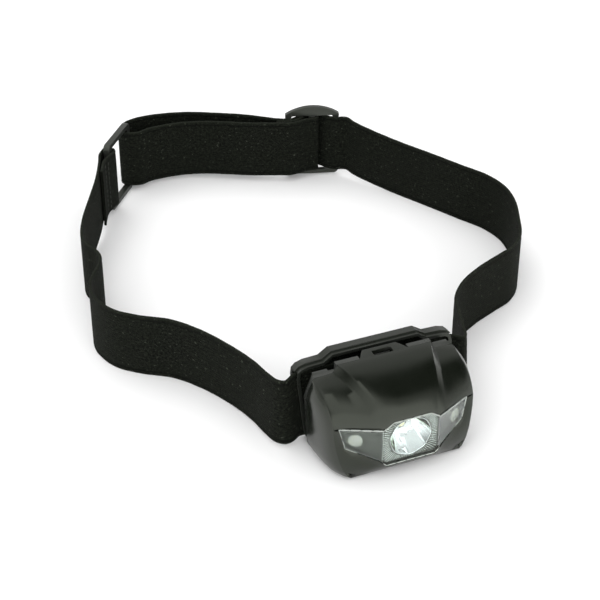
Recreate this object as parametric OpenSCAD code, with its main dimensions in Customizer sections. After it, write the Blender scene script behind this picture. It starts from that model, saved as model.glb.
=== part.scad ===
// Elastic headlamp: a lens, reflector and board in a hinged plastic case that
// holds two AAA cells, carried by a tilting bracket on a sewn elastic band.
// +Z is up, -Y is the way the lamp faces, the band stands on z = 0 and the
// origin is under the middle of the whole object.

/* [View] */
// Sub-part to draw, or all

/* [Strap] */
// Width of the elastic webbing (mm)
strap_width = 25; // [20:0.5:30]
// Thickness of the elastic webbing (mm)
strap_thick = 1.2; // [1:0.1:1.8]
// Length of the slider along the strap (mm)
slider_length = 22.5; // [18:0.5:26]
// Height of the slider at its crown (mm)
slider_height = 31.5; // [29:0.5:34]
// Length of the loop buckle along the strap (mm)
loop_length = 22.5; // [18:0.5:26]
// Height of the loop buckle (mm)
loop_height = 30; // [29:0.5:33]

/* [Bracket] */
// Angle the bracket leans back from the lamp at rest (degrees)
lean = 5; // [3:0.5:8]
// Thickness of the bracket's back plate (mm)
plate_thick = 1.7; // [1.2:0.1:2.5]
// Thickness of the bracket's rim (mm)
rim_thick = 1.1; // [1:0.1:2]

/* [Case] */
// Wall thickness of the case (mm)
wall = 1.5; // [1.2:0.1:2]
// Height of the raised middle of the case above the floor (mm)
crown_z = 33; // [31:0.5:36]
// Height of the shoulders of the case above the floor (mm)
shoulder_z = 30; // [28:0.5:32]
// Sweep of the lens wings from the middle facet (degrees)
sweep = 27; // [20:1:32]

/* [Light] */
// Radius of the reflector's mouth (mm)
cup_r = 7; // [5:0.1:8]
// Depth of the reflector (mm)
cup_depth = 7.4; // [5:0.1:9]
// Thickness of the clear lens (mm)
lens_thick = 1.2; // [0.8:0.1:1.6]

/* [Power] */
// Diameter of an AAA cell (mm)
cell_d = 10.5; // [10:0.1:10.5]
// Length of an AAA cell with its positive button (mm)
cell_length = 44.5; // [43.5:0.1:44.5]
// Travel of the underside button (mm)
button_travel = 0.8; // [0.4:0.1:1]

/* [Hidden] */
$fn = 64;

black = [0.07, 0.07, 0.07];
webbing = [0.09, 0.09, 0.09];
steel = [0.72, 0.72, 0.74];
grey = [0.45, 0.47, 0.45];
far = 60;            // longer than anything that is cut
gap = 0.3;           // clearance between bodies that move
snug = 0.08;         // clearance between seated pieces

// ---- where the lamp sits: x = 0 is its middle plane, y = 0 the parting face
lamp_x = -11.3;
lamp_y = -88.6;
floor_gap = 0.9;     // underside of the case above the floor

// ---- hinge line that bracket, rear cover and front shell share
hinge_y = 1.0;
hinge_z = 3.2;
pin_r = 1.0;
bore_r = 1.05;
knuckle_r = 2.2;
ear_in = 21;
ear_out = 23.6;
cover_knuckle_in = 15;
shell_knuckle_in = 8.5;

// ---- case outline
front_y = -22.3;     // middle facet of the front
fold_x = 10;         // where the wings start
side_x = 27.6;       // widest half width
crown_half_rear = 17;
crown_half_front = 9.2;
crown_r = 26.7;      // roll of the crown from back to front
brow_y = -20;
shoulder_r = 10;     // roll of the shoulders
chin_y = -18.3;      // front of the underside
chin_z = 5;          // where the chin starts to slope

// ---- light parts, measured from the parting face
optic_z = 14.3;
bezel_thick = 1.0;
board_front = -12.2;
board_thick = 1.0;

// ---- power parts
cell_y = -3.7;
cell_z = [9.0, 20.0];
cell_shift = 1.05;   // each cell is pushed off centre by its spring
tray_front = -10.2;
plate_x = 23.75;

module lamp() { translate([lamp_x, lamp_y, 0]) children(); }
module both() { children(); mirror([1, 0, 0]) children(); }
// profile drawn in (y, z) and run along x between two limits
module along_x(x0, x1) {
    translate([x0, 0, 0]) rotate([90, 0, 90]) linear_extrude(x1 - x0) children();
}
// outline drawn in (x, z) and run along y between two limits
module along_y(y0, y1) {
    translate([0, y1, 0]) rotate([90, 0, 0]) linear_extrude(y1 - y0) children();
}
module rounded(w, h, r) {
    square([w - 2 * r, h], center = true);
    square([w, h - 2 * r], center = true);
    for (x = [-1, 1], y = [-1, 1])
        translate([x * (w / 2 - r), y * (h / 2 - r)]) circle(r);
}
module box_at(low, high) { translate(low) cube(high - low); }
module rod_x(x0, x1, y, z, r) {
    translate([x0, y, z]) rotate([0, 90, 0]) cylinder(h = x1 - x0, r = r);
}
module rod_y(y0, y1, x, z, r) {
    translate([x, y1, z]) rotate([90, 0, 0]) cylinder(h = y1 - y0, r = r);
}
// closed skin through a list of rings that have the same number of points
module skin(rings) {
    n = len(rings[0]);
    m = len(rings);
    polyhedron(
        points = [for (r = rings) for (p = r) p],
        faces = concat(
            [[for (i = [0:n - 1]) i]],
            [for (k = [0:m - 2]) for (i = [0:n - 1])
                [k * n + i, (k + 1) * n + i, (k + 1) * n + (i + 1) % n, k * n + (i + 1) % n]],
            [[for (i = [n - 1:-1:0]) (m - 1) * n + i]]),
        convexity = 10);
}

// ================= the elastic band =================
// plan of the loop buckle: middle of its front bar, and the way to its rear bar
buckle_at = [-51.5, 87.4];
buckle_turn = 51;
buckle_pitch = loop_length - 3;
// plan of the slider: middle of its centre bar, and the way to its right bar
slider_at = [36, 82.6];
slider_turn = -18;
slider_pitch = 9.9;
// height of the webbing's lower edge inside each buckle
buckle_lift = 2.5;
slider_lift = 3.1;

function turned(a, p) = [cos(a) * p[0] - sin(a) * p[1], sin(a) * p[0] + cos(a) * p[1]];
// stations are [x, y, lean, height of the lower edge]
function at_buckle(u, n) =
    let (p = buckle_at + turned(buckle_turn, [u, n])) [p[0], p[1], 0, buckle_lift];
function at_slider(u, n) =
    let (p = slider_at + turned(slider_turn, [u, n])) [p[0], p[1], 0, slider_lift];

stations = concat(
    // sewn end folded back on the inside of the loop buckle's front bar
    [[-58.8, 71.9, 0, buckle_lift], [-57.1, 76.3, 0, buckle_lift], [-55, 80.6, 0, buckle_lift],
     at_buckle(-3.5, -1.9),
     at_buckle(0, -2.3), at_buckle(1.5, -2.2), at_buckle(2.4, -1.3), at_buckle(2.6, 0),
     at_buckle(2.4, 1.3), at_buckle(1.5, 2.2), at_buckle(0, 2.3), at_buckle(-3.5, 2),
     [-56.7, 81.6, 0, buckle_lift], [-58.4, 77, 0, buckle_lift], [-60.2, 72.4, 0, buckle_lift]],
    // left side, with the kink that the resting band makes
    [[-62.8, 66.8, 0, 1.9], [-68.1, 57.1, 0, 0.6], [-74.3, 44.8, 0, 0], [-77.9, 35, 0, 0],
     [-78.9, 29.2, 0, 0], [-78.1, 25, 0, 0], [-76.6, 21.4, 0, 0], [-76.2, 16.6, 0, 0],
     [-78, 11.9, 0, 0], [-81.2, 7.2, 0, 0], [-84.2, 2, 0, 0], [-85.9, -4.8, 0, 0],
     [-85.2, -11.4, 0, 0], [-82.2, -18.8, 0, 0], [-75.2, -25.7, 0, 0], [-65.8, -32.4, 0, 0],
     [-58.2, -42.6, 0, 0], [-52, -55.9, 0, 0.2], [-48.9, -66.5, 1, 0.7], [-47.4, -76, 2, 1.2]],
    // behind the lamp, through the bracket
    [[-46, -81.2, 3, 1.6], [-43.9, -83.3, 4, 2], [-41.8, -83, lean, 2.4],
     [-39.6, -81.8, lean, 2.7], [-34, -81.6, lean, 2.7], [lamp_x, -81.6, lean, 2.7],
     [11.4, -81.6, lean, 2.7], [17, -81.8, lean, 2.7], [19.2, -83, lean, 2.4],
     [21.3, -83.3, 4, 2], [23.4, -81.2, 3, 1.6]],
    // right side
    [[25, -76, 2, 1.2], [27.9, -67, 1, 0.7], [31.2, -57.8, 0, 0.2], [38.5, -49.6, 0, 0],
     [48, -43.7, 0, 0], [58, -39.3, 0, 0], [66.4, -35.6, 0, 0], [72.8, -29.4, 0, 0],
     [78.6, -17.8, 0, 0], [83.2, -6, 0, 0], [84.7, 4.5, 0, 0], [82.5, 15, 0, 0],
     [77, 25.4, 0, 0], [69.7, 39.5, 0, 0], [62.6, 52.6, 0, 0], [55, 64.8, 0, 1.2],
     [50.6, 72.6, 0, 2.2]],
    // outside the centre bar, then inside the left bar of the slider
    [at_slider(14.5, -2.6), at_slider(9.9, -2), at_slider(6.6, -0.6), at_slider(3.6, 2.3),
     at_slider(0, 3.7), at_slider(-3.4, 2.4), at_slider(-6.4, -0.4), at_slider(-9.9, -2),
     at_slider(-14.5, -1.4)],
    // outer layer back to the loop buckle's rear bar
    [[10.5, 94, 0, 3.2], [1, 100.4, 0, 2.8], [-10.5, 106.8, 0, 2.5], [-21, 109.7, 0, 2.5],
     [-30, 110.4, 0, 2.5], [-36.8, 108.8, 0, 2.5]],
    [at_buckle(21.3, 2.7), at_buckle(19.5, 2.4), at_buckle(18, 2.2), at_buckle(17.1, 1.3),
     at_buckle(16.8, 0), at_buckle(16.7, -1.6), at_buckle(17.1, -3.4), at_buckle(18.6, -6.2)],
    // inner layer, whose sewn end is folded round the slider's centre bar
    [[-31, 99.3, 0, 2.5], [-24, 99.8, 0, 2.5], [-16, 98.9, 0, 2.6], [-7, 95.8, 0, 2.8],
     [1, 91.3, 0, 3.1], [9, 86.4, 0, 3.4]],
    [at_slider(-14.5, -5.2), at_slider(-9.9, -5.5), at_slider(-6.4, -4.5),
     at_slider(-2.6, -2.5), at_slider(0, -2), at_slider(1.4, -1.8), at_slider(2.1, -0.9),
     at_slider(2.2, 0), at_slider(2.1, 0.9), at_slider(1.4, 1.8), at_slider(0, 2),
     at_slider(-2.6, 1.2),
     at_slider(-6.2, -2.3), at_slider(-9.9, -3.8), at_slider(-15, -3.4)]);

// smooth curve through the stations, with knots spaced by the root of the distance
steps = 5;
function knot(a, b) = sqrt(max(norm([b[0] - a[0], b[1] - a[1]]), 0.01));
function curve_at(a, b, c, d, s) =
    let (ab = knot(a, b), bc = knot(b, c), cd = knot(c, d),
         m1 = bc * ((b - a) / ab - (c - a) / (ab + bc) + (c - b) / bc),
         m2 = bc * ((c - b) / bc - (d - b) / (bc + cd) + (d - c) / cd))
    b + s * m1 + s * s * (-3 * (b - c) - 2 * m1 - m2) + s * s * s * (2 * (b - c) + m1 + m2);
function smooth_path(p) =
    let (n = len(p))
    concat([for (i = [0:n - 2]) for (k = [0:steps - 1])
        curve_at(i > 0 ? p[i - 1] : 2 * p[0] - p[1], p[i], p[i + 1],
                 i < n - 2 ? p[i + 2] : 2 * p[n - 1] - p[n - 2], k / steps)], [p[n - 1]]);

function strap_ring(p, q, s) =
    let (along = [q[0] - p[0], q[1] - p[1]], t = along / norm(along),
         out = [-t[1], t[0], 0],
         a = s[2],
         side = [out[0] * cos(a), out[1] * cos(a), -sin(a)] * strap_thick / 2,
         up = [out[0] * sin(a), out[1] * sin(a), cos(a)] * strap_width / 2,
         mid = [s[0], s[1], s[3] + strap_width / 2 * cos(a) + abs(sin(a)) * strap_thick / 2])
    [mid + side - up, mid + side + up, mid - side + up, mid - side - up];

module head_strap() {
    path = smooth_path([for (s = stations) [s[0], s[1], s[2], s[3]]]);
    n = len(path);
    color(webbing)
    skin([for (i = [0:n - 1])
        strap_ring(path[max(i - 1, 0)], path[min(i + 1, n - 1)], path[i])]);
}

module upright(at, turn) {
    translate([at[0], at[1], 0]) rotate(turn) rotate([90, 0, 0]) children();
}

module loop_buckle() {
    bar = 3;
    thick = 2.6;
    color(black)
    upright(buckle_at, buckle_turn)
    translate([buckle_pitch / 2, loop_height / 2, -thick / 2])
    linear_extrude(thick) difference() {
        rounded(loop_length, loop_height, 2);
        rounded(loop_length - 2 * bar, strap_width + 1, 0.6);
    }
}

module strap_slider() {
    bar = 2.4;
    thick = 2;
    foot = 1;        // the slider hangs this far above the floor
    crown = 20;      // radius of the arched top
    slot = slider_pitch - bar;
    slot_high = strap_width + 0.6;
    color(black)
    upright(slider_at, slider_turn)
    translate([0, foot, -thick / 2])
    linear_extrude(thick) difference() {
        intersection() {
            translate([0, slider_height / 2]) rounded(slider_length, slider_height, 2);
            translate([0, slider_height - crown]) circle(crown, $fn = 96);
        }
        for (x = [-1, 1])
            translate([x * slider_pitch / 2, slider_lift - foot - 0.3 + slot_high / 2])
                rounded(slot, slot_high, 0.6);
    }
}

// ================= the bracket =================
rim_front = 3.15;
flange_front = 4.8;  // the rim steps outwards behind this
lip_step = 0.6;
plate_front = 6.2;
plate_rear = plate_front + plate_thick;
tray_low = -2.3;

// outline of the tray in (x, z) of the leaning frame, moved in by w
module tray_outline(w) {
    polygon([[-24 + w / 2, tray_low + w], [24 - w / 2, tray_low + w],
             [27 - w, 1.6 + w / 2], [28.8 - w, 23.2],
             [28.4 - w, 25.6 - w / 3], [27 - w * 0.8, 26.9 - w * 0.7],
             [24.4 - w / 2, 27.6 - w], [18.9 - w / 3, 27.8 - w], [15.4, 30 - w],
             [-15.4, 30 - w], [-18.9 + w / 3, 27.8 - w], [-24.4 + w / 2, 27.6 - w],
             [-27 + w * 0.8, 26.9 - w * 0.7], [-28.4 + w, 25.6 - w / 3],
             [-28.8 + w, 23.2], [-27 + w, 1.6 + w / 2]]);
}

module leaning() {
    translate([0, hinge_y, hinge_z]) rotate([-lean, 0, 0]) children();
}

module bracket() {
    ear_web = -0.3;
    color(black)
    lamp() leaning() difference() {
        union() {
            difference() {
                union() {
                    along_y(flange_front, plate_rear) tray_outline(0);
                    along_y(rim_front, flange_front + 0.1) tray_outline(lip_step);
                }
                along_y(rim_front - 1, plate_front) tray_outline(lip_step + rim_thick);
            }
            both() {
                rod_x(ear_in, ear_out, 0, 0, knuckle_r);
                box_at([ear_in, 0, tray_low], [ear_out, plate_front + 0.5, ear_web]);
            }
        }
        // slots in the sides of the rim for the webbing, behind the front lip
        both() box_at([20, rim_front + 0.65, -0.8], [far, plate_front, strap_width + 0.3]);
        both() rod_x(ear_in - 1, ear_out + 1, 0, 0, bore_r);
    }
}

module hinge_pins() {
    color(steel)
    lamp() both() rod_x(shell_knuckle_in + 0.2, ear_out, hinge_y, hinge_z, pin_r);
}

// ================= the case =================
// plan of the case in (x, y), moved in by w
module case_plan(w) {
    s = side_x - w;
    f = front_y + w;
    polygon([[-s, far], [-s, -6], [-26.7 + w, -11.5 + w / 3], [-23.6 + w * 0.7, -15.4 + w],
             [-fold_x + w / 4, f], [fold_x - w / 4, f],
             [23.6 - w * 0.7, -15.4 + w], [26.7 - w, -11.5 + w / 3], [s, -6], [s, far]]);
}
// view from the front in (x, z) up to the shoulders, moved in by w
module case_front(w) {
    low = floor_gap + w;
    polygon([[-24.5 + w, low], [24.5 - w, low], [26.4 - w, low + 1.9],
             [side_x - w, 22.5], [24.7 - w / 2, shoulder_z - w],
             [-24.7 + w / 2, shoulder_z - w], [-side_x + w, 22.5], [-26.4 + w, low + 1.9]]);
}
// side view in (y, z) of the raised middle, moved in by w
module crown_side(w) {
    low = floor_gap + w;
    intersection() {
        union() {
            translate([0, crown_z - crown_r]) circle(crown_r - w, $fn = 160);
            translate([0, low]) square([far, crown_z - w - low]);
            translate([front_y, low]) square([20, crown_z - crown_r]);
        }
        polygon([[front_y + w, chin_z + w / 2], [chin_y + w, low], [far, low],
                 [far, crown_z], [brow_y, crown_z], [brow_y + w / 2, 24 - w],
                 [front_y + w, 22.4 - w / 2]]);
    }
}
module chin_side(w) {
    low = floor_gap + w;
    polygon([[front_y + w, chin_z + w / 2], [chin_y + w, low], [far, low],
             [far, crown_z], [front_y + w, crown_z]]);
}
// the roll of one shoulder, drawn square to the wing and run along it
module shoulder_roll(w) {
    translate([fold_x, front_y, 0]) rotate(sweep)
    along_x(-far, far)
    union() {
        translate([w, 0]) square([far, shoulder_z - shoulder_r]);
        translate([shoulder_r, shoulder_z - shoulder_r]) circle(shoulder_r - w, $fn = 96);
        translate([shoulder_r, 0]) square([far, shoulder_z - w]);
    }
}
module crown_taper(w) {
    polygon([[-crown_half_rear + w, far], [-crown_half_rear + w, 0],
             [-crown_half_front + w, brow_y], [-crown_half_front + w, -far],
             [crown_half_front - w, -far], [crown_half_front - w, brow_y],
             [crown_half_rear - w, 0], [crown_half_rear - w, far]]);
}
module case_solid(w) {
    intersection() {
        linear_extrude(far) case_plan(w);
        union() {
            intersection() {
                linear_extrude(far) crown_taper(w);
                along_x(-far, far) crown_side(w);
            }
            intersection() {
                along_y(-far, far) case_front(w);
                along_x(-far, far) chin_side(w);
                shoulder_roll(w);
                mirror([1, 0, 0]) shoulder_roll(w);
            }
        }
    }
}

// outlines of the lens facets in (x, z), grown by g
module facet_middle(g) {
    polygon([[-fold_x, 19.6 + g], [-6.7 - g / 2, 22 + g], [6.7 + g / 2, 22 + g],
             [fold_x, 19.6 + g], [fold_x, 6.6 - g], [8.6 + g / 2, 5.3 - g],
             [-8.6 - g / 2, 5.3 - g], [-fold_x, 6.6 - g]]);
}
module facet_wing(g) {
    polygon([[-0.5, 19.6 + g], [14.4 + g, 19.2 + g], [12.3 + g, 12 - g],
             [1.4, 7.7 - g], [-0.5, 6.1 - g]]);
}
// facets as one bent sheet from depth y0 to y1 behind the front of the case
module facets(g, y0, y1) {
    intersection() {
        along_y(front_y + y0, front_y + y1) facet_middle(g);
        box_at([-fold_x, -far, 0], [fold_x, far, far]);
    }
    both() intersection() {
        translate([fold_x, front_y, 0]) rotate(sweep) along_y(y0, y1) facet_wing(g);
        box_at([fold_x - 0.01, -far, 0], [far, far, far]);
    }
}

latch_half = 7.2;
latch_rear = 4.6;
latch_thick = 1.4;
window_half = 3.4;
window_rear = 3.3;
button_y = -13.6;
button_long = 20;
button_wide = 5.4;

module front_shell() {
    color(black)
    lamp() difference() {
        union() {
            difference() {
                intersection() {
                    case_solid(0);
                    box_at([-far, -far, 0], [far, -snug, far]);
                }
                difference() {
                    case_solid(wall);
                    // pillars that take the tray screws
                    both() rod_y(-far, -10.6, 20.6, 5.5, 1.9);
                }
                // pry scallops at the rear edge
                both() rod_x(side_x - 0.9, far, -1, 16.5, 4.6);
                // the underside stops short of the hinge
                box_at([-far, -1.7, 0], [far, far, 3.8]);
                both() rod_x(ear_in - gap, ear_out + gap, hinge_y, hinge_z, knuckle_r + gap + 0.1);
                both() rod_x(cover_knuckle_in - gap, ear_in, hinge_y, hinge_z,
                             knuckle_r + gap);
            }
            // latch that snaps over the rear cover
            box_at([-latch_half, -1.5, crown_z - latch_thick],
                   [latch_half, latch_rear, crown_z]);
            // knuckles
            both() {
                rod_x(shell_knuckle_in, cover_knuckle_in - gap, hinge_y, hinge_z, knuckle_r);
                box_at([shell_knuckle_in, -3.2, floor_gap + 0.1],
                       [cover_knuckle_in - gap, hinge_y, hinge_z]);
            }
        }
        facets(0.12, -3, 3);
        box_at([-window_half, 0, 0], [window_half, window_rear, far]);
        both() box_at([latch_half, -1, crown_z - 2.6], [latch_half + 1.5, 1, far]);
        both() rod_x(shell_knuckle_in - 1, cover_knuckle_in, hinge_y, hinge_z, bore_r);
        // button opening
        translate([0, button_y, -1]) linear_extrude(6)
            rounded(button_long + 2 * gap, button_wide + 2 * gap, 2.6);
        both() rod_y(-14.5, 0, 20.6, 5.5, 0.8);
    }
}

module rear_cover() {
    rear = 4.0;
    band = 2.0;      // depth of the part that is as wide as the case
    color(black)
    lamp() difference() {
        union() {
            difference() {
                union() {
                    intersection() {
                        case_solid(0);
                        box_at([-far, snug, 0], [far, band, far]);
                    }
                    intersection() {
                        along_y(band - 0.1, rear) case_front(1.4);
                        box_at([-far, 0, 3.4], [far, far, shoulder_z - 0.3]);
                    }
                    // shoulders' flat strips
                    both() box_at([19, snug, shoulder_z - 3],
                                  [24.2, 3.4, shoulder_z - 0.2]);
                }
                intersection() {
                    along_y(-1, rear - wall) case_front(wall + 1.4);
                    box_at([-far, -1, 3.4 + wall], [far, far, far]);
                }
                // the middle of the top edge is lowered for the latch
                box_at([-latch_half - 1.5, -1, crown_z - latch_thick - gap],
                       [latch_half + 1.5, far, far]);
                both() box_at([ear_in - gap, -1, 0],
                              [ear_out + gap, far, hinge_z + knuckle_r + gap + 0.1]);
                both() rod_x(shell_knuckle_in - gap, cover_knuckle_in, hinge_y, hinge_z,
                             knuckle_r + gap);
            }
            // lug in the latch's window
            box_at([-window_half + gap, 0.5, shoulder_z - 1],
                   [window_half - gap, window_rear - 0.4, crown_z - latch_thick - gap]);
            both() {
                rod_x(cover_knuckle_in, ear_in - gap, hinge_y, hinge_z, knuckle_r);
                box_at([cover_knuckle_in, hinge_y, floor_gap + 0.1],
                       [ear_in - gap, band, hinge_z]);
            }
        }
        both() rod_x(cover_knuckle_in - 1, ear_in, hinge_y, hinge_z, bore_r);
        both() box_at([cover_knuckle_in - gap, -far, 0], [ear_in + 1, -0.8, 2.6]);
    }
}

// ================= the light =================
module lens_window() {
    color([0.85, 0.9, 0.9, 0.35])
    lamp() facets(0, 0.3, 0.3 + lens_thick);
}

module bezel_panel() {
    led_hole = 1.8;
    front = 0.3 + lens_thick + 0.25;
    color(grey)
    lamp() difference() {
        union() {
            facets(-0.4, front, front + bezel_thick);
            // fluted ring round the reflector's mouth
            intersection() {
                for (i = [0:59])
                    translate([0, front_y + front, optic_z]) rotate([0, i * 6, 0])
                        box_at([cup_r + 0.6, -0.12, -0.12], [cup_r + 2.2, 0.2, 0.12]);
                along_y(-far, 0) facet_middle(-0.5);
            }
        }
        rod_y(-far, 0, 0, optic_z, cup_r + 0.15);
        both() rod_y(-far, 0, 17.5, 14.8, led_hole);
        // the fluted ring is trimmed to the middle facet
        both() box_at([fold_x - 0.2, front_y - 1, 0], [fold_x + 1, front_y + front + 0.9, 40]);
    }
}

cup_front = front_y + 0.3 + lens_thick + 0.35;
module reflector_cup() {
    skin_t = 0.5;
    neck = 2.1;
    function dish(t) = [neck + (cup_r - neck) * sqrt(t), -cup_depth * (1 - t)];
    color([0.9, 0.9, 0.92])
    lamp() translate([0, cup_front, optic_z]) rotate([90, 0, 0]) rotate_extrude($fn = 96)
    polygon(concat([for (i = [0:12]) dish(i / 12) - [skin_t, 0]],
                   [[cup_r, 0]],
                   [for (i = [12:-1:0]) dish(i / 12)]));
}

module circuit_board() {
    color([0.1, 0.35, 0.2])
    lamp() difference() {
        along_y(board_front, board_front + board_thick)
            translate([0, 14.9]) rounded(38.6, 20.6, 1.5);
        both() rod_y(-far, 0, 20.6, 5.5, 2.2);
        for (x = [-1.2, 1.2]) both() rod_y(-far, 0, 17.5 + x, 14.8, 0.4);
    }
}

module main_led() {
    color([0.93, 0.93, 0.9])
    lamp() box_at([-1.75, board_front - 0.8, optic_z - 1.75],
                  [1.75, board_front - snug, optic_z + 1.75]);
}

module led_dome() {
    color([0.95, 0.9, 0.55])
    lamp() translate([0, board_front - 0.8 - snug, optic_z]) rotate([90, 0, 0])
    intersection() {
        sphere(1.3);
        cylinder(h = 2, r = 2);
    }
}

module side_led() {
    stem = -14.6;
    rod_y(stem, board_front - snug, 17.5, 14.8, 1.5);
    translate([17.5, stem, 14.8]) intersection() {
        sphere(1.5);
        box_at([-2, -2, -2], [2, 0.01, 2]);
    }
    for (x = [-1.2, 1.2])
        rod_y(board_front - 0.2, board_front + board_thick + 0.5, 17.5 + x, 14.8, 0.25);
}
module side_led_left() { color([0.9, 0.92, 0.95]) lamp() mirror([1, 0, 0]) side_led(); }
module side_led_right() { color([0.9, 0.92, 0.95]) lamp() side_led(); }

switch_z = 5.4;
module tact_switch() {
    color([0.2, 0.2, 0.2])
    lamp() union() {
        box_at([-3, board_front - 3.6, switch_z], [3, board_front - snug, switch_z + 1.5]);
        translate([0, button_y, switch_z - 0.5]) cylinder(h = 0.6, r = 1.2);
    }
}

module switch_button() {
    flange_z = floor_gap + wall + 0.1;
    color([0.12, 0.12, 0.12])
    lamp() translate([0, button_y, 0]) union() {
        translate([0, 0, 0.6]) linear_extrude(flange_z - 0.5)
            rounded(button_long, button_wide, 2.4);
        for (x = [-8, 8])
            translate([x, 0, 0.25]) linear_extrude(0.5) rounded(3, button_wide - 1, 1);
        translate([0, 0, flange_z]) linear_extrude(0.6)
            rounded(button_long + 1.6, button_wide + 1.0, 2.8);
        cylinder(h = switch_z - 0.5 - button_travel - 0.15, r = 1.2);
    }
}

// ================= power =================
module battery_tray() {
    end_in = plate_x + 0.15;
    end_out = 24.6;
    color(black)
    lamp() difference() {
        union() {
            box_at([-end_out, tray_front, 4], [end_out, tray_front + 0.8, 25.8]);
            both() box_at([end_in, tray_front, 4], [end_out, -0.3, 24.6]);
        }
        both() rod_y(-far, 0, 20.6, 5.5, 1.1);
        // corners cut to clear the case
        both() box_at([24.2, -far, 0], [far, far, 4.6]);
    }
}

module tray_screws() {
    color(steel)
    lamp() both() difference() {
        union() {
            rod_y(-13.8, tray_front + 1, 20.6, 5.5, 0.75);
            rod_y(tray_front + 0.85, tray_front + 1.5, 20.6, 5.5, 1.6);
        }
        box_at([19.6, tray_front + 1.1, 5.3], [21.6, 0, 5.7]);
    }
}

module cell(sign) {
    r = cell_d / 2;
    body = cell_length - 1;
    translate([sign * (cell_shift), 0, 0]) scale([sign, 1, 1]) union() {
        rod_x(-cell_length / 2, -cell_length / 2 + body, 0, 0, r);
        rod_x(cell_length / 2 - 1.2, cell_length / 2, 0, 0, 1.9);
    }
}
module cell_lower() {
    color([0.25, 0.3, 0.32]) lamp() translate([0, cell_y, cell_z[0]]) cell(1);
}
module cell_upper() {
    color([0.25, 0.3, 0.32]) lamp() translate([0, cell_y, cell_z[1]]) mirror([1, 0, 0]) cell(1);
}

// conical coil that stands off a plate at x = 0 and reaches x = length
module coil(length) {
    wire = 0.25;
    turns = 2.5;
    count = 60;
    skin([for (i = [0:count])
        let (t = i / count, a = 360 * turns * t, r = 3.4 - 1.4 * t,
             c = [wire + (length - 2 * wire) * t, r * cos(a), r * sin(a)])
        [for (k = [0:7]) let (b = 45 * k)
            c + wire * [sin(b), cos(b) * cos(a), cos(b) * sin(a)]]]);
}
coil_long = 2 * cell_shift;
module spring_left() {
    color(steel) lamp() translate([-plate_x + 0.3 + snug, cell_y, cell_z[0]]) coil(coil_long);
}
module spring_right() {
    color(steel) lamp() mirror([1, 0, 0])
        translate([-plate_x + 0.3 + snug, cell_y, cell_z[1]]) coil(coil_long);
}

module contact(z0, z1) { box_at([-plate_x, cell_y - 4, z0], [-plate_x + 0.3, cell_y + 3.4, z1]); }
module link_plate() { color(steel) lamp() contact(4.8, 24.2); }
module positive_plate() {
    color(steel) lamp() mirror([1, 0, 0]) contact(4.8, 13.8);
}
module negative_plate() {
    color(steel) lamp() mirror([1, 0, 0]) contact(15.2, 24.2);
}

head_strap();
loop_buckle();
strap_slider();
bracket();
hinge_pins();
rear_cover();
front_shell();
lens_window();
bezel_panel();
reflector_cup();
circuit_board();
main_led();
led_dome();
side_led_left();
side_led_right();
tact_switch();
switch_button();
battery_tray();
tray_screws();
cell_lower();
cell_upper();
spring_left();
spring_right();
link_plate();
positive_plate();
negative_plate();
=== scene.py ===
"""Looks of an elastic headlamp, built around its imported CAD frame. Metres, +Z up, lamp faces -Y."""

import math
import random

import bmesh
import bpy
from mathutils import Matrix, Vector


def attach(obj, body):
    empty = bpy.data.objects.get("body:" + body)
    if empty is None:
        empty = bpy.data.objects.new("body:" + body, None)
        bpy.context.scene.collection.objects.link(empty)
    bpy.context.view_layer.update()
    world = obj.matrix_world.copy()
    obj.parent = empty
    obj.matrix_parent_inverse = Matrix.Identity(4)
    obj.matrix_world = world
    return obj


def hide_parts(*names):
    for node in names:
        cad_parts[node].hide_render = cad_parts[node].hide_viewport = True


MM = 0.001
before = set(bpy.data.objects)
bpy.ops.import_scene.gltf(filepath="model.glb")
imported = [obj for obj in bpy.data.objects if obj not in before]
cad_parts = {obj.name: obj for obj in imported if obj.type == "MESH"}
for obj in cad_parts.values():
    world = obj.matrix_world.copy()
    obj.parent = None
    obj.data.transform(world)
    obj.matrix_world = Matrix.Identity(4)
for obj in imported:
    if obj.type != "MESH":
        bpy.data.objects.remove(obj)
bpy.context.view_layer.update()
rng = random.Random(7)

# ---- places shared with the CAD part, in millimetres
LAMP_X = -11.3
LAMP_Y = -88.6
OPTIC_Z = 14.3
STRAP_WIDTH = 25.0
STRAP_THICK = 1.2
LEAN = 5.0
BUCKLE_AT = (-51.5, 87.4)
BUCKLE_TURN = 51.0
BUCKLE_LIFT = 2.5
SLIDER_AT = (36.0, 82.6)
SLIDER_TURN = -18.0
SLIDER_LIFT = 3.1
# half width of the lens's middle facet, where the wings begin to sweep back
FOLD_X = 10.0
# the webbing's UV map gives its back face this much more in v than its front
BACK_SHIFT = 30.0

# ================= materials =================
SPECULAR_TINT = (0.94, 1.0, 0.86)
# roughness of the frosted wings of the lens
WING_FROST = 0.34
# brightness of the studio around the object
ROOM_LEVEL = 2.1


def shader(name, color, roughness, metallic=0.0):
    """A material with a principled shader, its node tree and that shader."""
    mat = bpy.data.materials.new(name)
    mat.use_nodes = True
    tree = mat.node_tree
    bsdf = tree.nodes["Principled BSDF"]
    bsdf.inputs["Base Color"].default_value = (*color, 1)
    bsdf.inputs["Roughness"].default_value = roughness
    bsdf.inputs["Metallic"].default_value = metallic
    bsdf.inputs["Specular Tint"].default_value = (*SPECULAR_TINT, 1)
    return mat, tree, bsdf


def noise(tree, scale, detail=3.0, vector=None):
    """Cloudy noise over the object's own space, or over another vector."""
    made = tree.nodes.new("ShaderNodeTexNoise")
    made.inputs["Scale"].default_value = scale
    made.inputs["Detail"].default_value = detail
    if vector is None:
        vector = tree.nodes.new("ShaderNodeTexCoord").outputs["Object"]
    tree.links.new(vector, made.inputs["Vector"])
    return made.outputs["Fac"]


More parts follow.
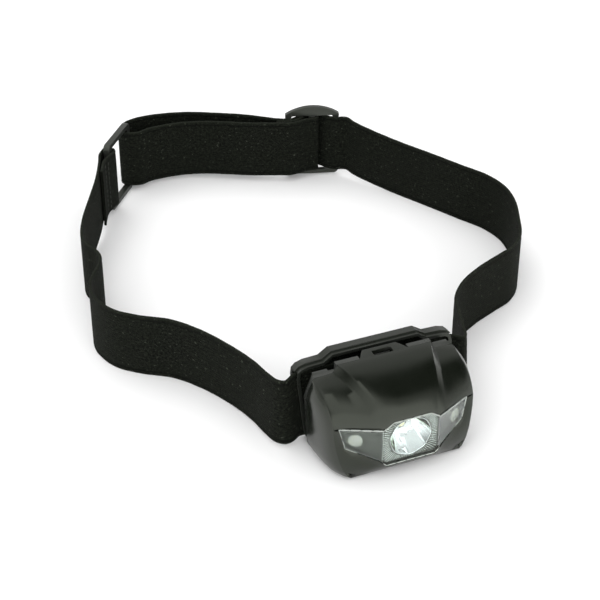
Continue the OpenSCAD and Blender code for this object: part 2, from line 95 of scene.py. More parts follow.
def spread(tree, value, low, high, from_low=0.35, from_high=0.65):
    """Stretches a value between two numbers onto low to high."""
    made = tree.nodes.new("ShaderNodeMapRange")
    made.inputs["From Min"].default_value = from_low
    made.inputs["From Max"].default_value = from_high
    made.inputs["To Min"].default_value = low
    made.inputs["To Max"].default_value = high
    tree.links.new(value, made.inputs["Value"])
    return made.outputs["Result"]


def math_value(tree, kind, first, second=None, third=None):
    """A math node of a kind, on numbers or other nodes' values."""
    made = tree.nodes.new("ShaderNodeMath")
    made.operation = kind
    for socket, value in zip(made.inputs, (first, second, third)):
        if isinstance(value, (int, float)):
            socket.default_value = value
        elif value is not None:
            tree.links.new(value, socket)
    return made.outputs[0]


def mixed(tree, factor, first, second):
    """A colour between two, each a tuple or another node's colour."""
    made = tree.nodes.new("ShaderNodeMix")
    made.data_type = "RGBA"
    for socket, value in (("A", first), ("B", second)):
        target = [i for i in made.inputs if i.name == socket and i.type == "RGBA"][0]
        if isinstance(value, tuple):
            target.default_value = (*value, 1)
        else:
            tree.links.new(value, target)
    tree.links.new(factor, made.inputs[0])
    return [o for o in made.outputs if o.type == "RGBA"][0]


def bump(tree, bsdf, height, distance, strength=1.0, under=None):
    """A bump on the shader, on top of another one where under is given."""
    made = tree.nodes.new("ShaderNodeBump")
    made.inputs["Distance"].default_value = distance
    made.inputs["Strength"].default_value = strength
    tree.links.new(height, made.inputs["Height"])
    if under is not None:
        tree.links.new(under, made.inputs["Normal"])
    tree.links.new(made.outputs["Normal"], bsdf.inputs["Normal"])
    return made.outputs["Normal"]


def moulded(name, color, roughness, grain, depth, worn=0.02, coat=0.0):
    """Moulded plastic: fine spark grain, faint handling marks and paler rubbed edges."""
    mat, tree, bsdf = shader(name, color, roughness)
    fine = noise(tree, grain, 2.0)
    marks = noise(tree, 90.0, 4.0)
    rough = spread(tree, marks, roughness - 0.05, roughness + 0.07)
    tree.links.new(rough, bsdf.inputs["Roughness"])
    geometry = tree.nodes.new("ShaderNodeNewGeometry")
    edge = spread(tree, geometry.outputs["Pointiness"], 0.0, 1.0, 0.52, 0.6)
    pale = tuple(c + worn for c in color)
    tree.links.new(mixed(tree, edge, color, pale), bsdf.inputs["Base Color"])
    bump(tree, bsdf, fine, depth)
    bsdf.inputs["Coat Weight"].default_value = coat
    bsdf.inputs["Coat Roughness"].default_value = 0.08
    return mat


def webbing_material():
    """Knitted elastic: staggered stitches in lengthwise wales, painted shade in a groove inside each
    paler edge, lint and sheen."""
    mat, tree, bsdf = shader("webbing", (0.012, 0.012, 0.012), 0.86)
    uv = tree.nodes.new("ShaderNodeUVMap")
    uv.uv_map = "webbing"
    split = tree.nodes.new("ShaderNodeSeparateXYZ")
    tree.links.new(uv.outputs["UV"], split.inputs[0])

    def math_node(kind, first, second=None):
        return math_value(tree, kind, first, second)

    # one unit of u and v is a millimetre, and v is 0 in the middle of the front face
    groove_at = 10.9
    edge_from, edge_to = 11.7, 12.4
    along, across = split.outputs[0], split.outputs[1]
    from_front = math_node("ABSOLUTE", across)
    from_back = math_node("ABSOLUTE", math_node("SUBTRACT", across, BACK_SHIFT))
    from_middle = math_node("MINIMUM", from_front, from_back)
    groove = math_node("ABSOLUTE", math_node("SUBTRACT", from_middle, groove_at))
    weft_pitch, wale_pitch = 0.82, 0.95
    wander = noise(tree, 0.9, 3.0, uv.outputs["UV"])
    row = math_node("FLOOR", math_node("DIVIDE", across, wale_pitch))
    shift = math_node("MULTIPLY", math_node("MODULO", row, 2.0), weft_pitch / 2)
    turn = math_node("ADD", math_node("ADD", along, shift), math_node("MULTIPLY", wander, 2.4))
    weft = math_node("SINE", math_node("MULTIPLY", turn, 2 * math.pi / weft_pitch))
    lean = math_node("ADD", across, math_node("MULTIPLY", wander, 1.6))
    wale = math_node("SINE", math_node("MULTIPLY", lean, 2 * math.pi / wale_pitch))
    knit = math_node("ADD", math_node("MULTIPLY", weft, 0.5), math_node("MULTIPLY", wale, 0.5))
    fuzz = noise(tree, 1.1, 6.0, uv.outputs["UV"])
    patches = noise(tree, 0.1, 3.0, uv.outputs["UV"])
    lint = noise(tree, 0.75, 8.0, uv.outputs["UV"])
    specks = noise(tree, 0.55, 9.0, uv.outputs["UV"])
    tone = mixed(tree, spread(tree, fuzz, 0.0, 1.0, 0.42, 0.6), (0.0015, 0.0019, 0.0013),
                 (0.0115, 0.0135, 0.0096))
    tone = mixed(tree, spread(tree, knit, 0.0, 0.45, 0.0, 1.0), tone, (0.003, 0.0036, 0.0026))
    tone = mixed(tree, spread(tree, patches, 0.0, 0.45), tone, (0.006, 0.0072, 0.0051))
    tone = mixed(tree, spread(tree, specks, 0.0, 0.7, 0.4, 0.34), tone, (0.001, 0.0013, 0.001))
    tone = mixed(tree, spread(tree, lint, 0.0, 0.75, 0.62, 0.72), tone, (0.055, 0.062, 0.048))
    edge = spread(tree, from_middle, 0.0, 0.55, edge_from, edge_to)
    tone = mixed(tree, edge, tone, (0.018, 0.0205, 0.0155))
    # painted shade: the groove inside each edge is darkened where shade falls into it
    tone = mixed(tree, spread(tree, groove, 0.9, 0.0, 0.1, 0.35), tone, (0.001, 0.0013, 0.001))
    tree.links.new(tone, bsdf.inputs["Base Color"])
    rough = spread(tree, fuzz, 0.78, 0.95)
    tree.links.new(rough, bsdf.inputs["Roughness"])
    first = bump(tree, bsdf, knit, 0.16 * MM, 0.9)
    bump(tree, bsdf, fuzz, 0.25 * MM, 0.8, first)
    bsdf.inputs["Sheen Weight"].default_value = 0.012
    bsdf.inputs["Sheen Roughness"].default_value = 0.45
    bsdf.inputs["Sheen Tint"].default_value = (0.75, 0.77, 0.72, 1)
    bsdf.inputs["Specular IOR Level"].default_value = 0.08
    return mat


def clear_material():
    """Clear plastic in the middle of the lens, frosted over its two wings."""
    mat, tree, bsdf = shader("clear_lens", (0.93, 0.97, 0.96), 0.03)
    bsdf.inputs["Transmission Weight"].default_value = 1.0
    bsdf.inputs["IOR"].default_value = 1.49
    coords = tree.nodes.new("ShaderNodeTexCoord")
    split = tree.nodes.new("ShaderNodeSeparateXYZ")
    tree.links.new(coords.outputs["Object"], split.inputs[0])
    away = math_value(tree, "SUBTRACT", split.outputs["X"], LAMP_X * MM)
    size = math_value(tree, "ABSOLUTE", away)
    frost = spread(tree, size, 0.0, WING_FROST, (FOLD_X - 0.2) * MM, (FOLD_X + 0.2) * MM)
    haze = math_value(tree, "MULTIPLY_ADD", noise(tree, 260.0, 3.0), 0.015, frost)
    tree.links.new(haze, bsdf.inputs["Roughness"])
    return mat


def metal_material(name, color, roughness, streak=(1, 1, 1), scale=900.0):
    """Bare metal with a fine grain, which streak stretches along an axis."""
    mat, tree, bsdf = shader(name, color, roughness, 1.0)
    coords = tree.nodes.new("ShaderNodeTexCoord")
    mapping = tree.nodes.new("ShaderNodeMapping")
    mapping.inputs["Scale"].default_value = streak
    tree.links.new(coords.outputs["Object"], mapping.inputs["Vector"])
    grain = noise(tree, scale, 4.0, mapping.outputs["Vector"])
    tree.links.new(spread(tree, grain, roughness * 0.7, roughness * 1.4), bsdf.inputs["Roughness"])
    bump(tree, bsdf, grain, 0.01 * MM)
    return mat


def glow_material(name, color, strength):
    """Pale, glossy encapsulant over a lit-looking coating, with a painted glow: a little emission of
    its own that makes the part look lit.
    """
    mat, tree, bsdf = shader(name, color, 0.2)
    bsdf.inputs["Subsurface Weight"].default_value = 0.3
    bsdf.inputs["Subsurface Radius"].default_value = (0.001, 0.001, 0.0006)
    bsdf.inputs["Emission Strength"].default_value = strength
    bsdf.inputs["Emission Color"].default_value = (*color, 1)
    bsdf.inputs["Coat Weight"].default_value = 1.0
    cloudy = noise(tree, 900.0, 2.0)
    tree.links.new(spread(tree, cloudy, 0.15, 0.35), bsdf.inputs["Roughness"])
    return mat


MATERIALS = {
    "webbing": webbing_material(),
    "thread": moulded("thread", (0.0045, 0.0055, 0.004), 0.8, 2500.0, 0.02 * MM),
    "case": moulded("case", (0.0055, 0.0068, 0.0048), 0.2, 1400.0, 0.004 * MM, 0.01),
    "satin": moulded("satin", (0.006, 0.0073, 0.0053), 0.3, 1500.0, 0.012 * MM, 0.03),
    "buckle": moulded("buckle", (0.012, 0.0135, 0.011), 0.38, 1300.0, 0.014 * MM, 0.04),
    "rubber": moulded("rubber", (0.009, 0.0105, 0.008), 0.6, 1700.0, 0.02 * MM),
    "bezel": moulded("bezel", (0.035, 0.041, 0.036), 0.55, 1500.0, 0.01 * MM),
    "clear": clear_material(),
    # painted highlight: the pale grey edge material stands in for light caught on the lens's clear
    # polished edge
    "edge": moulded("edge", (0.42, 0.45, 0.42), 0.18, 900.0, 0.003 * MM),
    "flute": metal_material("flute", (0.62, 0.66, 0.62), 0.22),
    "chrome": metal_material("chrome", (0.84, 0.86, 0.86), 0.05, scale=400.0),
    "steel": metal_material("steel", (0.62, 0.62, 0.63), 0.3, (1, 12, 12)),
    "nickel": metal_material("nickel", (0.7, 0.67, 0.6), 0.28, (8, 1, 1)),
    "board": moulded("board", (0.02, 0.12, 0.05), 0.4, 700.0, 0.02 * MM),
    "ceramic": moulded("ceramic", (0.8, 0.8, 0.77), 0.5, 1500.0, 0.01 * MM),
    # painted glow: the main LED's dome, the side LEDs and their diffusers emit a little light so that
    # they look bright
    "phosphor_painted_glow": glow_material("phosphor_painted_glow", (1.0, 0.93, 0.6), 0.3),
    "resin_painted_glow": glow_material("resin_painted_glow", (0.55, 0.59, 0.52), 0.1),
    "sleeve": moulded("sleeve", (0.05, 0.07, 0.08), 0.3, 300.0, 0.004 * MM, coat=0.4),
}


def wear(obj, name):
    """Gives an object one material."""
    obj.data.materials.clear()
    obj.data.materials.append(MATERIALS[name])


# ================= making pieces =================
def piece(name, bm, material, body, smooth=30.0):
    """A finished bmesh as an object that rides on a body."""
    mesh = bpy.data.meshes.new(name)
    bm.to_mesh(mesh)
    bm.free()
    obj = bpy.data.objects.new(name, mesh)
    bpy.context.scene.collection.objects.link(obj)
    shade(obj, smooth)
    wear(obj, material)
    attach(obj, body)
    return obj


def shade(obj, angle):
    """Smooth shading that keeps edges sharper than the angle."""
    limit = math.radians(angle)
    bm = bmesh.new()
    bm.from_mesh(obj.data)
    for face in bm.faces:
        face.smooth = True
    for edge in bm.edges:
        gentle = len(edge.link_faces) == 2 and edge.calc_face_angle(0) < limit
        edge.smooth = edge.smooth and gentle
    bm.to_mesh(obj.data)
    bm.free()


def softened(cad_name, material, body, width, segments=3, sharp=28.0):
    """The CAD node's own shape with its moulded edges rounded."""
    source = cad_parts[cad_name]
    bm = bmesh.new()
    bm.from_mesh(source.data)
    bmesh.ops.remove_doubles(bm, verts=bm.verts, dist=1e-6)
    bmesh.ops.dissolve_limit(bm, angle_limit=math.radians(1.0), verts=bm.verts, edges=bm.edges)
    obj = piece(cad_name + "_soft", bm, material, body, sharp)
    rounding = obj.modifiers.new("rounding", "BEVEL")
    rounding.width = width * MM
    rounding.segments = segments
    rounding.limit_method = "ANGLE"
    rounding.angle_limit = math.radians(sharp)
    rounding.use_clamp_overlap = True
    rounding.harden_normals = True
    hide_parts(cad_name)


# ================= the band =================
EDGE_WAVE = 0.02
FIBRES_PER_END = 70


def turned(angle, u, n):
    """The offset u along and n across a piece that is turned by an angle in degrees."""
    c, s = math.cos(math.radians(angle)), math.sin(math.radians(angle))
    return c * u - s * n, s * u + c * n


def at_buckle(u, n):
    """A station by the loop buckle: u along it, n across it."""
    du, dn = turned(BUCKLE_TURN, u, n)
    return (BUCKLE_AT[0] + du, BUCKLE_AT[1] + dn, 0, BUCKLE_LIFT)


def at_slider(u, n):
    """A station by the slider: u along it, n across it."""
    du, dn = turned(SLIDER_TURN, u, n)
    return (SLIDER_AT[0] + du, SLIDER_AT[1] + dn, 0, SLIDER_LIFT)


# where the band's middle runs: x, y, lean in degrees and height of the lower edge.
# The same stations shape the CAD band.
STATIONS = [
    # sewn end folded back on the inside of the loop buckle's front bar
    (-58.8, 71.9, 0, BUCKLE_LIFT), (-57.1, 76.3, 0, BUCKLE_LIFT), (-55, 80.6, 0, BUCKLE_LIFT),
    at_buckle(-3.5, -1.9),
    at_buckle(0, -2.3), at_buckle(1.5, -2.2), at_buckle(2.4, -1.3), at_buckle(2.6, 0),
    at_buckle(2.4, 1.3), at_buckle(1.5, 2.2), at_buckle(0, 2.3), at_buckle(-3.5, 2),
    (-56.7, 81.6, 0, BUCKLE_LIFT), (-58.4, 77, 0, BUCKLE_LIFT), (-60.2, 72.4, 0, BUCKLE_LIFT),
    # left side, with the kink that the resting band makes
    (-62.8, 66.8, 0, 1.9), (-68.1, 57.1, 0, 0.6), (-74.3, 44.8, 0, 0), (-77.9, 35, 0, 0),
    (-78.9, 29.2, 0, 0), (-78.1, 25, 0, 0), (-76.6, 21.4, 0, 0), (-76.2, 16.6, 0, 0),
    (-78, 11.9, 0, 0), (-81.2, 7.2, 0, 0), (-84.2, 2, 0, 0), (-85.9, -4.8, 0, 0),
    (-85.2, -11.4, 0, 0), (-82.2, -18.8, 0, 0), (-75.2, -25.7, 0, 0), (-65.8, -32.4, 0, 0),
    (-58.2, -42.6, 0, 0), (-52, -55.9, 0, 0.2), (-48.9, -66.5, 1, 0.7), (-47.4, -76, 2, 1.2),
    # behind the lamp, through the bracket
    (-46, -81.2, 3, 1.6), (-43.9, -83.3, 4, 2), (-41.8, -83, LEAN, 2.4),
    (-39.6, -81.8, LEAN, 2.7), (-34, -81.6, LEAN, 2.7), (LAMP_X, -81.6, LEAN, 2.7),
    (11.4, -81.6, LEAN, 2.7), (17, -81.8, LEAN, 2.7), (19.2, -83, LEAN, 2.4),
    (21.3, -83.3, 4, 2), (23.4, -81.2, 3, 1.6),
    # right side
    (25, -76, 2, 1.2), (27.9, -67, 1, 0.7), (31.2, -57.8, 0, 0.2), (38.5, -49.6, 0, 0),
    (48, -43.7, 0, 0), (58, -39.3, 0, 0), (66.4, -35.6, 0, 0), (72.8, -29.4, 0, 0),
    (78.6, -17.8, 0, 0), (83.2, -6, 0, 0), (84.7, 4.5, 0, 0), (82.5, 15, 0, 0),
    (77, 25.4, 0, 0), (69.7, 39.5, 0, 0), (62.6, 52.6, 0, 0), (55, 64.8, 0, 1.2),
    (50.6, 72.6, 0, 2.2),
    # outside the centre bar, then inside the left bar of the slider
    at_slider(14.5, -2.6), at_slider(9.9, -2), at_slider(6.6, -0.6), at_slider(3.6, 2.3),
    at_slider(0, 3.7), at_slider(-3.4, 2.4), at_slider(-6.4, -0.4), at_slider(-9.9, -2),
    at_slider(-14.5, -1.4),
    # outer layer back to the loop buckle's rear bar
    (10.5, 94, 0, 3.2), (1, 100.4, 0, 2.8), (-10.5, 106.8, 0, 2.5), (-21, 109.7, 0, 2.5),
    (-30, 110.4, 0, 2.5), (-36.8, 108.8, 0, 2.5),
    at_buckle(21.3, 2.7), at_buckle(19.5, 2.4), at_buckle(18, 2.2), at_buckle(17.1, 1.3),
    at_buckle(16.8, 0), at_buckle(16.7, -1.6), at_buckle(17.1, -3.4), at_buckle(18.6, -6.2),
    # inner layer, whose sewn end is folded round the slider's centre bar
    (-31, 99.3, 0, 2.5), (-24, 99.8, 0, 2.5), (-16, 98.9, 0, 2.6), (-7, 95.8, 0, 2.8),
    (1, 91.3, 0, 3.1), (9, 86.4, 0, 3.4),
    at_slider(-14.5, -5.2), at_slider(-9.9, -5.5), at_slider(-6.4, -4.5),
    at_slider(-2.6, -2.5), at_slider(0, -2), at_slider(1.4, -1.8), at_slider(2.1, -0.9),
    at_slider(2.2, 0), at_slider(2.1, 0.9), at_slider(1.4, 1.8), at_slider(0, 2),
    at_slider(-2.6, 1.2),
    at_slider(-6.2, -2.3), at_slider(-9.9, -3.8), at_slider(-15, -3.4),
]


def curve_at(a, b, c, d, s):
    """A point between b and c on the smooth curve that the CAD band follows."""
    ab, bc, cd = (math.sqrt(max(math.hypot(q[0] - p[0], q[1] - p[1]), 0.01))
                  for p, q in ((a, b), (b, c), (c, d)))
    out = []
    for i in range(4):
        m1 = bc * ((b[i] - a[i]) / ab - (c[i] - a[i]) / (ab + bc) + (c[i] - b[i]) / bc)
        m2 = bc * ((c[i] - b[i]) / bc - (d[i] - b[i]) / (bc + cd) + (d[i] - c[i]) / cd)
        bend = -3 * (b[i] - c[i]) - 2 * m1 - m2
        turn = 2 * (b[i] - c[i]) + m1 + m2
        out.append(b[i] + s * m1 + s * s * bend + s * s * s * turn)
    return out


def smooth_path(points, step):
    """Points along the curve about step millimetres apart, in a list of [x, y, lean, z]."""
    made = []
    count = len(points)
    for i in range(count - 1):
        b, c = points[i], points[i + 1]
        a = points[i - 1] if i else [2 * p - q for p, q in zip(b, c)]
        d = points[i + 2] if i < count - 2 else [2 * p - q for p, q in zip(c, b)]
        parts = max(2, round(math.hypot(c[0] - b[0], c[1] - b[1]) / step))
        made += [curve_at(a, b, c, d, k / parts) for k in range(parts)]
    return made + [list(points[-1])]


PATH = smooth_path(STATIONS, 1.1)


def band_frames():
    """For each path point: its middle, outward side and up directions, and length so far."""
    made = []
    length = 0.0
    for i, point in enumerate(PATH):
        before, after = PATH[max(i - 1, 0)], PATH[min(i + 1, len(PATH) - 1)]
        along = Vector((after[0] - before[0], after[1] - before[1], 0)).normalized()
        out = Vector((-along.y, along.x, 0))
        angle = math.radians(point[2])
        side = out * math.cos(angle) - Vector((0, 0, math.sin(angle)))
        up = out * math.sin(angle) + Vector((0, 0, math.cos(angle)))
        rise = STRAP_WIDTH / 2 * math.cos(angle) + abs(math.sin(angle)) * STRAP_THICK / 2
        middle = Vector((point[0], point[1], point[3] + rise))
        if i:
            length += math.hypot(point[0] - PATH[i - 1][0], point[1] - PATH[i - 1][1])
        made.append((middle, side, up, length))
    return made


FRAMES = band_frames()
BAND_LENGTH = FRAMES[-1][3]


def band_profile():
    """Half outline of the webbing, as (across, half thickness) from one edge to the other."""
    half = STRAP_WIDTH / 2
    edge = [(half, 0.0), (half - 0.08, 0.3), (half - 0.3, 0.48), (half - 0.7, 0.55),
            (half - 1.3, 0.54), (half - 1.7, 0.46), (half - 2.1, 0.5), (half - 3.2, 0.55)]
    flat = [(half - 3.2 - k * (STRAP_WIDTH - 6.4) / 8, 0.56) for k in range(1, 8)]
    return edge + flat + [(-a, t) for a, t in reversed(edge)]


def make_band():
    """The woven band as one closed mesh, with a UV map in millimetres."""
    outline = band_profile()
    ring = [(a, t) for a, t in outline] + [(a, -t) for a, t in reversed(outline[1:-1])]
    bm = bmesh.new()
    uv = bm.loops.layers.uv.new("webbing")
    rings = []
    for middle, side, up, length in FRAMES:
        wave = EDGE_WAVE * (1.2 * math.sin(length * 0.9) + math.sin(length * 2.3))
        made = []
        for across, thick in ring:
            edge = wave if abs(across) > STRAP_WIDTH / 2 - 1.0 else 0.0
            spot = middle + up * (across + edge) + side * thick
            face_shift = BACK_SHIFT if thick < 0 else 0
            made.append((bm.verts.new(spot * MM), length, across + face_shift))
        rings.append(made)
    count = len(ring)
    for near, far in zip(rings, rings[1:]):
        for i in range(count):
            j = (i + 1) % count
            corners = [near[i], near[j], far[j], far[i]]
            face = bm.faces.new([c[0] for c in corners])
            back = any(c[2] > BACK_SHIFT / 2 for c in corners)
            for loop, corner in zip(face.loops, corners):
                across = corner[2]
                if back and across < BACK_SHIFT / 2:
                    across += BACK_SHIFT
                loop[uv].uv = (corner[1], across)
    for end, flip in ((rings[0], False), (rings[-1], True)):
        verts = [v[0] for v in end]
        face = bm.faces.new(verts if flip else verts[::-1])
        for loop, corner in zip(face.loops, end if flip else end[::-1]):
            loop[uv].uv = (corner[1], corner[2])
    bmesh.ops.recalc_face_normals(bm, faces=bm.faces)
    band = piece("band_webbing", bm, "webbing", "band", 50.0)
    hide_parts("head_strap")


def add_capsule(bm, start, end, radius, sides=6):
    """A short round-ended thread or fibre between two points, in millimetres."""
    axis = end - start
    turn = axis.to_track_quat("Z", "Y")
    rings = []
    for t, r in ((0.0, 0.35), (0.15, 0.9), (0.5, 1.0), (0.85, 0.9), (1.0, 0.35)):
        row = []
        for k in range(sides):
            a = 2 * math.pi * k / sides
            local = Vector((radius * r * math.cos(a), radius * r * math.sin(a), 0))
            row.append(bm.verts.new((start + axis * t + turn @ local) * MM))
        rings.append(row)
    for near, far in zip(rings, rings[1:]):
        for i in range(sides):
            j = (i + 1) % sides
            bm.faces.new((near[i], near[j], far[j], far[i]))
    bm.faces.new(rings[0][::-1])
    bm.faces.new(rings[-1])


def frame_near(length):
    """The band frame closest to a length along the path."""
    return min(FRAMES, key=lambda f: abs(f[3] - length))


def stitch_column(bm, length, face, pitch=2.2, margin=1.6):
    """One row of stitches across the band at a length, on the side face = +1 or -1."""
    middle, side, up, _ = frame_near(length)
    z = -STRAP_WIDTH / 2 + margin
    while z + pitch * 0.7 < STRAP_WIDTH / 2 - margin:
        lift = side * face * (STRAP_THICK / 2 + 0.02)
        add_capsule(bm, middle + up * z + lift, middle + up * (z + pitch * 0.72) + lift, 0.2)
        z += pitch


def make_stitching():
    """Two rows of stitches through each sewn end, seen on both faces."""
    bm = bmesh.new()
    seam = BAND_LENGTH - 1.2
    for at in (11.5, 8.5, seam, seam - 2.4):
        stitch_column(bm, at, 1)
        stitch_column(bm, at, -1)
    piece("seam_stitches", bm, "thread", "band", 60.0)


def make_fray():
    """Loose fibres at the two cut ends."""
    bm = bmesh.new()
    for middle, side, up, way in ((*FRAMES[0][:3], -1), (*FRAMES[-1][:3], 1)):
        along = up.cross(side) * way
        for _ in range(FIBRES_PER_END):
            start = middle + up * rng.uniform(-12, 12) + side * rng.uniform(-0.45, 0.45)
            tip = along * rng.uniform(0.4, 1.1) + up * rng.uniform(-0.5, 0.5)
            tip += side * rng.uniform(-0.3, 0.3)
            add_capsule(bm, start, start + tip, 0.045, 4)
    piece("cut_end_fibres", bm, "thread", "band", 60.0)


make_band()
make_stitching()
make_fray()

# ================= hard pieces kept from the CAD, with moulded edges =================
softened("loop_buckle", "buckle", "band", 0.55)
softened("strap_slider", "buckle", "band", 0.7)
softened("bracket", "satin", "band", 0.3)
softened("rear_cover", "satin", "cover", 0.2)
softened("switch_button", "rubber", "button", 0.25)
softened("lens_window", "clear", "lamp", 0.15)
softened("bezel_panel", "bezel", "lamp", 0.06, 2)
for name, material in (("hinge_pins", "steel"),
                       ("circuit_board", "board"), ("main_led", "ceramic"),
                       ("led_dome", "phosphor_painted_glow"), ("side_led_left", "resin_painted_glow"),
                       ("side_led_right", "resin_painted_glow"), ("tact_switch", "satin"),
                       ("battery_tray", "satin"), ("tray_screws", "steel"),
                       ("cell_lower", "sleeve"), ("cell_upper", "sleeve"),
                       ("spring_left", "nickel"), ("spring_right", "nickel"),
                       ("link_plate", "nickel"), ("positive_plate", "nickel"),
                       ("negative_plate", "nickel")):
    wear(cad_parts[name], material)


# ================= the front shell =================
# All of it is in the lamp's own frame, in millimetres: x from its middle plane, y from the
# parting face towards the wearer, z from the floor. Only x >= 0 is written; the rest is mirrored.
CROWN_Z = 33.0
SHELL_BASE = 0.9
CHIN_Y = -18.4
LEDGE_Z = 19.4
HINGE_Y = 1.0
HINGE_Z = 3.2
KNUCKLE_R = 2.2
BORE_R = 1.05
KNUCKLE_IN = 8.5
KNUCKLE_OUT = 14.7
LEAF_Y = (-3.4, -0.4)
LEAF_Z = (1.7, 3.4)
BUTTON_Y = -13.6
SLOT_RUN = 7.3
SLOT_R = 3.0
FRONT_Y = -22.3
SWEEP = 27.0
ROLL = 74.0
ROLL_ROWS = 14
SIDE_STEPS = 8
FRONT_STEPS = 4
LEDGE_FROM = 9.0
LEDGE_TO = 24.5
LEDGE_DEPTH = 1.3
WALL = 1.4


def lamp_point(x, y, z):
    """A point of the lamp's own frame, in metres in the shared frame."""
    return Vector((LAMP_X + x, LAMP_Y + y, z)) * MM


def wing_y(x, proud=0.0):
    """Depth of the swept wing face at x."""
    return FRONT_Y - proud + max(0.0, abs(x) - FOLD_X) * math.tan(math.radians(SWEEP))


# columns of the rolled top: x and z at the parting face, x and z at the brow, how far the
# brow stands in front of the lens, and how full the roll is
TOP_COLUMNS = [
    (0.0, CROWN_Z, 0.0, 22.9, 0.1, 1.0), (6.0, CROWN_Z, 3.2, 22.9, 0.1, 1.0),
    (12.4, CROWN_Z, 6.7, 22.7, 0.1, 1.0), (15.6, CROWN_Z - 0.02, 8.6, 21.3, 0.1, 1.0),
    (16.7, CROWN_Z - 0.1, 9.3, 20.9, 0.1, 1.0), (17.1, CROWN_Z - 0.6, 9.9, 20.95, 0.1, 1.0),
    (17.9, 30.9, 12.0, 21.4, 0.3, 1.05), (18.4, 30.3, 13.0, 21.4, 0.35, 1.05),
    (20.4, 30.15, 16.6, 21.35, 0.5, 1.1), (22.8, 30.05, 20.6, 21.2, 0.8, 1.15),
    (24.8, 29.8, 24.2, 20.6, 1.25, 1.2), (25.3, 29.3, 25.0, 20.2, 1.3, 1.2),
]
# the side crease below the brow, down to the front corner of the underside
LOW_CREASE = [(24.8, -16.4, 16.0), (24.2, -16.9, 12.0), (23.3, -17.5, 7.6),
              (22.1, -18.0, 4.0), (20.7, -18.4, 1.7), (19.6, -18.5, SHELL_BASE)]
# outline of the parting face, from the crease to the underside
REAR_EDGE = [(25.3, 29.3), (25.6, 28.7), (26.3, 27.2), (27.0, 25.4), (27.5, 23.9), (27.6, 22.4),
             (27.6, 20.8), (27.6, 19.2), (27.6, 17.6), (27.6, 16.0), (27.6, 14.4), (27.6, 12.8),
             (27.6, 11.2), (27.5, 9.6), (27.4, 8.0), (27.2, 6.0), (26.9, 4.2), (26.2, 2.6),
             (25.3, 1.5), (24.2, SHELL_BASE)]
# rim of the lens from the brow's outer end to the middle of the chin, and what it joins
LENS_RIM = [(22.9, 19.3), (22.0, 15.6), (21.1, 12.0), (17.6, 10.5), (14.2, 9.0), (11.3, 7.6),
            (10.0, 6.5), (8.7, 5.2), (4.3, 5.2), (0.0, 5.2)]
CHIN_EDGE = [17.0, 13.0, 9.0, 4.5, 0.0]


def roll_point(column, s):
    """A point on the rolled top; s runs from 0 at the parting face to 1 at the brow."""
    rear_x, rear_z, brow_x, brow_z, proud, fullness = column
    end = math.radians(ROLL)
    angle = s * end
    reach = math.sin(angle) / math.sin(end)
    drop = ((1 - math.cos(angle)) / (1 - math.cos(end))) ** fullness
    brow_y = wing_y(brow_x, proud)
    return (rear_x + (brow_x - rear_x) * reach, brow_y * reach,
            rear_z + (brow_z - rear_z) * drop)


def bezier(a, b, c, t):
    """A point on the curve from a to c that b pulls."""
    return tuple(p * (1 - t) ** 2 + 2 * q * t * (1 - t) + r * t * t for p, q, r in zip(a, b, c))


def add_strip_grid(bm, grid):
    """Quads between the rows of a grid of points in the lamp's frame."""
    verts = [[bm.verts.new(lamp_point(*p)) for p in row] for row in grid]
    for near, far in zip(verts, verts[1:]):
        for i in range(len(near) - 1):
            corners = (near[i], near[i + 1], far[i + 1], far[i])
            if len({tuple(round(c, 7) for c in v.co) for v in corners}) > 2:
                bm.faces.new(corners)


def key(point):
    """A point rounded, so that equal points compare as equal."""
    return tuple(round(c, 2) for c in point)


def key_of(vert):
    """The lamp-frame key of a vertex that lamp_point placed."""
    spot = vert.co / MM
    return key((spot.x - LAMP_X, spot.y - LAMP_Y, spot.z))


def rear_y(z):
    """The parting face is relieved towards the hinge, so the case can open."""
    return -0.75 * max(0.0, 4.0 - z)


def side_crease():
    """The edge between the front faces and the side, from the parting face down."""
    keep = [0, 2, 4, *range(6, ROLL_ROWS + 1)]
    return [roll_point(TOP_COLUMNS[-1], k / ROLL_ROWS) for k in keep] + LOW_CREASE


def shell_grids():
    """The right half of the shell's outside, patch by patch."""
    rows = [k / ROLL_ROWS for k in range(ROLL_ROWS + 1)]
    top = [[roll_point(c, s) for c in TOP_COLUMNS] for s in rows]
    crease = side_crease()
    steps = [k / SIDE_STEPS for k in range(SIDE_STEPS + 1)]
    count = len(crease)
    side = []
    for i, start in enumerate(crease):
        at = i * (len(REAR_EDGE) - 1) / (count - 1)
        k = min(int(at), len(REAR_EDGE) - 2)
        f = at - k
        end_x = REAR_EDGE[k][0] * (1 - f) + REAR_EDGE[k + 1][0] * f
        end_z = REAR_EDGE[k][1] * (1 - f) + REAR_EDGE[k + 1][1] * f
        control = (end_x + 0.1, start[1] * 0.78, (start[2] + end_z) / 2)
        side.append([bezier(start, control, (end_x, rear_y(end_z), end_z), t) for t in steps])
    outer = [crease[-len(LOW_CREASE) - 1]] + LOW_CREASE[:4]
    outer += [(x, CHIN_Y, SHELL_BASE) for x in CHIN_EDGE]
    front = []
    for k in range(FRONT_STEPS + 1):
        t = k / FRONT_STEPS
        row = []
        for (rim_x, rim_z), end in zip(LENS_RIM, outer):
            start = (rim_x, wing_y(rim_x, 0.1), rim_z)
            middle = tuple((a + b) / 2 for a, b in zip(start, end))
            control = (middle[0], middle[1] - 0.5, middle[2])
            row.append(bezier(start, control, end, t))
        front.append(row)
    # the recessed ledge between the shoulder's brow and the wing of the lens
    brow = [p for p in top[-1] if LEDGE_FROM < p[0] < LEDGE_TO]
    ledge = [brow, [(x, y + LEDGE_DEPTH, z) for x, y, z in brow],
             [(x, wing_y(x) + 0.5, LEDGE_Z) for x, y, z in brow]]
    return top, side, front, ledge


